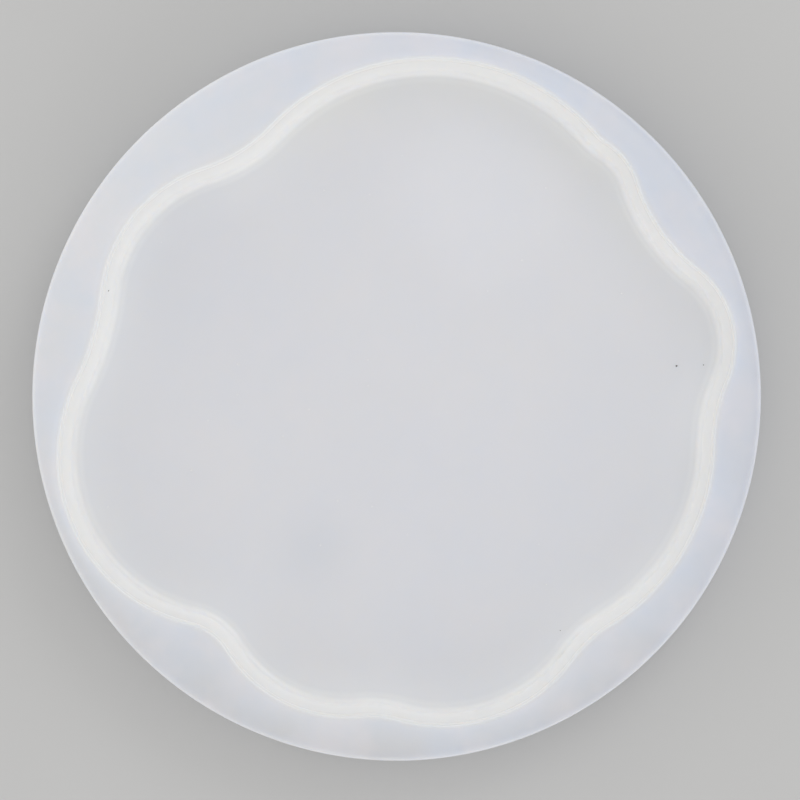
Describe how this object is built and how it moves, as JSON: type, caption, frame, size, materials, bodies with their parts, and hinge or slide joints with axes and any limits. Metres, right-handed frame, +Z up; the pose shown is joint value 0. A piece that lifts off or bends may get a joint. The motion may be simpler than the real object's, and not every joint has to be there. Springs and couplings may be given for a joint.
{
  "type": "resin casting mould",
  "caption": "Round open-topped silicone mould with one shallow, flower-edged cavity, a drafted wavy wall and a flat rim, for casting a flat resin coaster.",
  "frame": {"origin": "centre of the flat underside, where the mould's round axis meets the surface it stands on", "axes": "+Z up out of the open cavity; +X towards the small lobe on the right as the cavity is looked down into, +Y away from the viewer, towards the broad lobe"},
  "size_m": [0.12, 0.12, 0.01],
  "materials": {
    "silicone_thin": "satin translucent white silicone, a thin web",
    "silicone_wall": "satin translucent white silicone, brighter where light scatters at the drafted wall",
    "silicone_body": "satin translucent white silicone, cool in the thick rim",
    "silicone_edge": "satin translucent white silicone, a moulded rounded edge"
  },
  "bodies": {
    "root": {"cavity_floor": "silicone_thin", "cavity_wall": "silicone_wall", "rim_land": "silicone_body", "outer_edge": "silicone_edge"}
  },
  "joints": []
}
